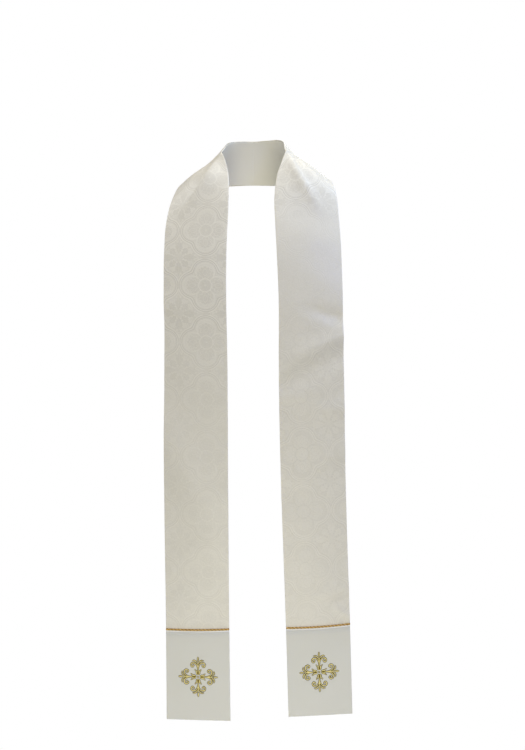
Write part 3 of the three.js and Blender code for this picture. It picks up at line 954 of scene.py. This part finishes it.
# Painted sheen: how clearly the weave is painted into the colour from the front. It stands in for the weave's
# sheen, which turns with the light, and below 0 light and dark change places.
# Columns: height over the seam in millimetres, strength
PAINTED_WEAVE_SHEEN = {
    "right": [
        (0, 0.35), (150, 0.3), (420, 0.25), (560, 0.6),
        (640, 0.9), (780, 0.9), (860, 0.6), (1100, 0.9),
    ],
    "left": [(0, -0.35), (250, -0.5), (540, -0.45), (640, -0.15), (800, 0.1), (850, 0.7), (960, 0.95)],
}
DAMASK_DEEP = (0.68, 0.648, 0.556)
DAMASK_SHINE = (0.84, 0.806, 0.704)
DAMASK_SHEEN = {"Sheen Weight": 0.2, "Sheen Roughness": 0.4, "Coat Weight": 0.18, "Coat Roughness": 0.22}
RIBS = 13.0  # the cloth's threads, in radians for each mm
EDGE_STITCHES_AND_HIGHLIGHT = 1.7  # a lighter dotted line this close to the band's sides: edge stitches, and a painted highlight on the turned edge's roll
# Scales of the noises
CLOUDS, MOTTLES, SLUBS, THREADS = 14, 75, 260, 700


def damask_material(name):
    material, tree, shader = new_material(f"cream_damask_{name}")
    across, up = flat_place(tree, "cut")
    from_side, _ = flat_place(tree, "trim")
    tone = damask_tone(across, up)
    patches = noise(tree, CLOUDS) * 0.9 + noise(tree, MOTTLES) * 1.6 - 0.25
    # painted sheen: the pattern's contrast set by height over the seam, varied at random by the patches
    painted_sheen_strength = rising(up, PAINTED_WEAVE_SHEEN[name]) * patches
    threads = noise(tree, THREADS)
    slubs = noise(tree, SLUBS, 3)
    shown = (tone - MIDDLE) * painted_sheen_strength + MIDDLE + (threads - 0.5) + (slubs - 0.5) * 0.3
    # edge stitches and a painted highlight along the turned edge
    stitches = under(from_side, EDGE_STITCHES_AND_HIGHLIGHT) * above((up * 1.6).math("SINE"), -0.2, 0.5)
    color = mix_colors(tree, (shown + stitches * 0.4).clamp(), DAMASK_DEEP, DAMASK_SHINE)
    link_looks(tree, shader, color, tone * -0.2 + 0.66)
    set_inputs(shader, DAMASK_SHEEN)
    ribs = (up * RIBS).math("SINE") + (across * RIBS).math("SINE")
    bump(tree, shader, tone * 0.8 + ribs * 0.06 + threads * 0.3, DAMASK_RELIEF)
    return material


PANEL_DARK = (0.665, 0.655, 0.586)
PANEL_LIGHT = (0.73, 0.72, 0.65)
# Painted shade: a darker, greyer band over the turned seam allowance under the piping
TURNING_SHADE_COLOR = (0.64, 0.645, 0.625)
TURNING_SHADE_FADE = (SEAM_TURNING + 2, 5.0)  # where its painted shade ends, and how softly
WHITE_LINE_COLOR = (0.94, 0.95, 0.95)
SATIN_GRAIN, SATIN_CLOUDS = 1300, 16


def end_panel_material():
    material, tree, shader = new_material("end_satin")
    _, under_seam = flat_place(tree, "trim")
    grain = noise(tree, SATIN_GRAIN)
    cloudy = noise(tree, SATIN_CLOUDS)
    color = mix_colors(tree, grain * 0.6 + cloudy * 0.5, PANEL_DARK, PANEL_LIGHT)
    # painted shade over the turned seam allowance
    color = mix_colors(tree, under(under_seam, *TURNING_SHADE_FADE) * 0.6, color, TURNING_SHADE_COLOR)
    # a near-white line painted just below the cord
    color = mix_colors(tree, line(under_seam - WHITE_LINE_MIDDLE, WHITE_LINE_WIDTH), color, WHITE_LINE_COLOR)
    link_looks(tree, shader, color, cloudy * 0.1 + 0.5)
    set_inputs(shader, {"Sheen Weight": 0.15})
    bump(tree, shader, grain, SATIN_RELIEF)
    return material


TWILL_GRAIN = 1100


def plain_cloth_material(name, low, high, rough):
    material, tree, shader = new_material(name)
    grain = noise(tree, TWILL_GRAIN, 3)
    cloudy = noise(tree, CLOUDS)
    color = mix_colors(tree, grain * 0.6 + cloudy * 0.4, low, high)
    link_looks(tree, shader, color, cloudy * 0.1 + rough)
    set_inputs(shader, {"Sheen Weight": 0.2})
    bump(tree, shader, grain, TWILL_RELIEF)
    return material


FLECKS = 1600


def metal_thread_material(name, metallic, rough):
    """A metallic thread with a fine fleck. Returns its tree, shader and fleck too, for its colour."""
    material, tree, shader = new_material(name)
    fleck = noise(tree, FLECKS)
    set_inputs(shader, {"Metallic": metallic, "Specular IOR Level": 0.2})
    tree.links.new((fleck * 0.25 + rough).socket, shader.inputs["Roughness"])
    bump(tree, shader, fleck, FLECK_RELIEF)
    return material, tree, shader, fleck


CORD_DARK, CORD_BROWN, CORD_GOLD = (0.34, 0.18, 0.035), (0.58, 0.34, 0.08), (0.98, 0.72, 0.27)


def cord_material():
    """One ply in old gold, the other in brown."""
    material, tree, shader, fleck = metal_thread_material("gold_cord", 0.5, 0.35)
    ply, _ = flat_place(tree, "ply")
    brown = mix_colors(tree, fleck, CORD_DARK, CORD_BROWN)
    gold = mix_colors(tree, fleck, CORD_BROWN, CORD_GOLD)
    tree.links.new(mix_colors(tree, ply.clamp(), brown, gold), shader.inputs["Base Color"])
    return material


# Gold for the satin stitch: painted shade at its foot, shaded gold on its flanks, a painted highlight on its
# crown
STITCH_PAINTED_SHADE, STITCH_SHADED_GOLD, STITCH_HIGHLIT_GOLD = (0.07, 0.045, 0.006), (0.33, 0.25, 0.045), (1.0, 0.88, 0.40)


def embroidery_material():
    """Satin stitch with a painted highlight on its crown and painted shade where it dips into the cloth."""
    material, tree, shader, fleck = metal_thread_material("gold_thread", 0.55, 0.35)
    inside, _ = flat_place(tree, "stitch")
    # painted highlight on each stroke's crown, painted shade towards its foot
    crown = (inside * 1.6 - 0.3 + (fleck - 0.5) * 0.5).clamp()
    color = mix_colors(tree, crown, STITCH_SHADED_GOLD, STITCH_HIGHLIT_GOLD)
    # painted shade: the dark colour on each stroke's foot and apron
    color = mix_colors(tree, under(inside, 0.05, 0.12), color, STITCH_PAINTED_SHADE)
    tree.links.new(color, shader.inputs["Base Color"])
    return material


FLOOR_LEVEL = -1.50
FLOOR_RADIUS = 1.6
FLOOR_SIDES = 96
FLOOR_FADE = (1.1, 0.4)  # where it fades out, and how softly
FLOOR_COLOR = (0.85, 0.85, 0.84, 1)


def floor_material():
    """A pale floor that fades out into the white around it."""
    material, tree, shader = new_material("pale_floor")
    set_inputs(shader, {"Base Color": FLOOR_COLOR, "Roughness": 0.9})
    away = radius(*first_two(tree, object_place(tree)))
    clear = tree.nodes.new("ShaderNodeBsdfTransparent")
    faded = above(away, *FLOOR_FADE).socket
    mix_shaders(tree, faded, shader.outputs[0], clear.outputs[0], "Material Output")
    return material


def add_floor():
    around = np.linspace(0, 2 * math.pi, FLOOR_SIDES, endpoint=False)
    rim = FLOOR_RADIUS * np.stack([np.cos(around), np.sin(around), 0 * around], -1)
    rim[:, 2] = FLOOR_LEVEL
    floor = add_mesh("floor", rim / MM, [list(range(FLOOR_SIDES))], {}, floor_material())


CAMERA_AT = (0.0192, -3.925, -0.434)
CAMERA_LENS = 93.4
CAMERA_SENSOR = 36


def add_camera():
    camera = bpy.data.cameras.new("camera")
    camera.lens = CAMERA_LENS
    camera.sensor_width = CAMERA_SENSOR
    holder = add_object("camera", camera)
    holder.location = CAMERA_AT
    holder.rotation_euler = (math.pi / 2, 0, 0)
    bpy.context.scene.camera = holder


# Columns: name, place, aim, size, power, colour
LIGHTS = [
    ("ceiling", (0.3, -4.2, 4.0), (0, 0, -0.6), 2.0, 36, (1.0, 1.0, 0.96)),
    ("window", (2.8, -4.5, 2.5), (0, 0, -0.6), 2.0, 54, (0.05, 0.18, 1.0)),
    ("over the front", (0.2, -0.7, 1.6), (0, 0, 0), 1.0, 15.6, (1.0, 0.97, 0.85)),
    ("over the shoulders", (0.6, 0.6, 1.6), (0, 0, 0), 1.0, 12.3, (1.0, 0.86, 0.55)),
    ("right side", (-1.7, 0.3, 1.1), (0, 0, -0.05), 1.0, 13, (0.94, 0.95, 1.0)),
    ("left side", (1.7, 0.1, 1.2), (0, 0, -0.05), 1.0, 26, (0.50, 0.68, 1.0)),
    ("low bounce", (0, -2.4, -1.35), (0, 0, -0.95), 1.2, 24, (1.0, 0.97, 0.78)),
    ("behind", (0.8, 4.2, 0.8), (0, 0, -0.5), 2.4, 90, (1.0, 0.98, 0.94)),
]


def add_lights():
    for name, place, aim, size, power, color in LIGHTS:
        light = bpy.data.lights.new(name, "AREA")
        light.shape = "DISK"
        light.size = size
        light.energy = power
        light.color = color
        holder = add_object(name, light)
        holder.location = place
        holder.rotation_euler = look_angles(np.array(aim, float) - np.array(place, float))


def look_angles(direction):
    """Rotation that turns a light's -Z along a direction."""
    x, y, z = direction
    return (math.atan2(math.hypot(x, y), -z), 0, math.atan2(-x, y))


WORLD_LIGHT = 0.16
WORLD_COLOR = (1.0, 0.98, 0.94, 1)


def add_world():
    """White behind the object, with a softer white light on it."""
    world = bpy.data.worlds.new("white")
    world.use_nodes = True
    tree = world.node_tree
    seen = tree.nodes["Background"]
    set_inputs(seen, {"Color": (1, 1, 1, 1), "Strength": 1.0})
    lit = tree.nodes.new("ShaderNodeBackground")
    set_inputs(lit, {"Color": WORLD_COLOR, "Strength": WORLD_LIGHT})
    path = tree.nodes.new("ShaderNodeLightPath")
    mix_shaders(tree, path.outputs["Is Camera Ray"], lit.outputs[0], seen.outputs[0], "World Output")
    bpy.context.scene.world = world


AREA_STEPS = 400


def flat_area(half, start, end):
    """Flat area of a stretch of the band, in square metres."""
    along = np.linspace(start, end, AREA_STEPS)
    widths = half.width(along)
    return float(np.sum((widths[1:] + widths[:-1]) / 2 * np.diff(along))) * MM * MM


def dress(half, materials):
    """Every piece of one half, hung on the root, with the CAD node it stands for hidden."""
    name = half.name
    band = damask_band(half, damask_material(name))
    panel = end_panel(half, materials["satin"])
    lining = lining_cloth(half, materials["lining"])
    cord = piping(half, materials["cord"])
    cross = embroidered_cross(half, materials["gold"])
    stitches = slip_stitches(half, materials["stitch"])
    rows = [
        (band, f"damask_{name}", "damask"),
        (panel, f"end_{name}", "end_satin"),
        (lining, f"lining_{name}", "lining"),
        (cord, f"piping_{name}", "gold_cord"),
        (cross, f"cross_{name}", "gold_thread"),
        (stitches, None, "lining"),
    ]
    for piece, node, slot in rows:
        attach(piece, "root")
        if node:
            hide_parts(node)
    area = flat_area(half, 0, half.seam)
    half.seam * MM
    half.panel_height * MM
    lining_area = flat_area(half, 0, half.length) - 2 * LINING_INSET * half.length * MM * MM


add_camera()
add_world()
add_lights()
add_floor()
bpy.context.scene.view_settings.view_transform = "Standard"

MATERIALS = {
    "satin": end_panel_material(),
    "lining": plain_cloth_material("lining_twill", (0.80, 0.775, 0.69), (0.86, 0.84, 0.765), 0.6),
    "stitch": plain_cloth_material("lining_stitch", (0.80, 0.78, 0.70), (0.86, 0.84, 0.77), 0.5),
    "cord": cord_material(),
    "gold": embroidery_material(),
}
for side_name in ("right", "left"):
    dress(Half(side_name), MATERIALS)
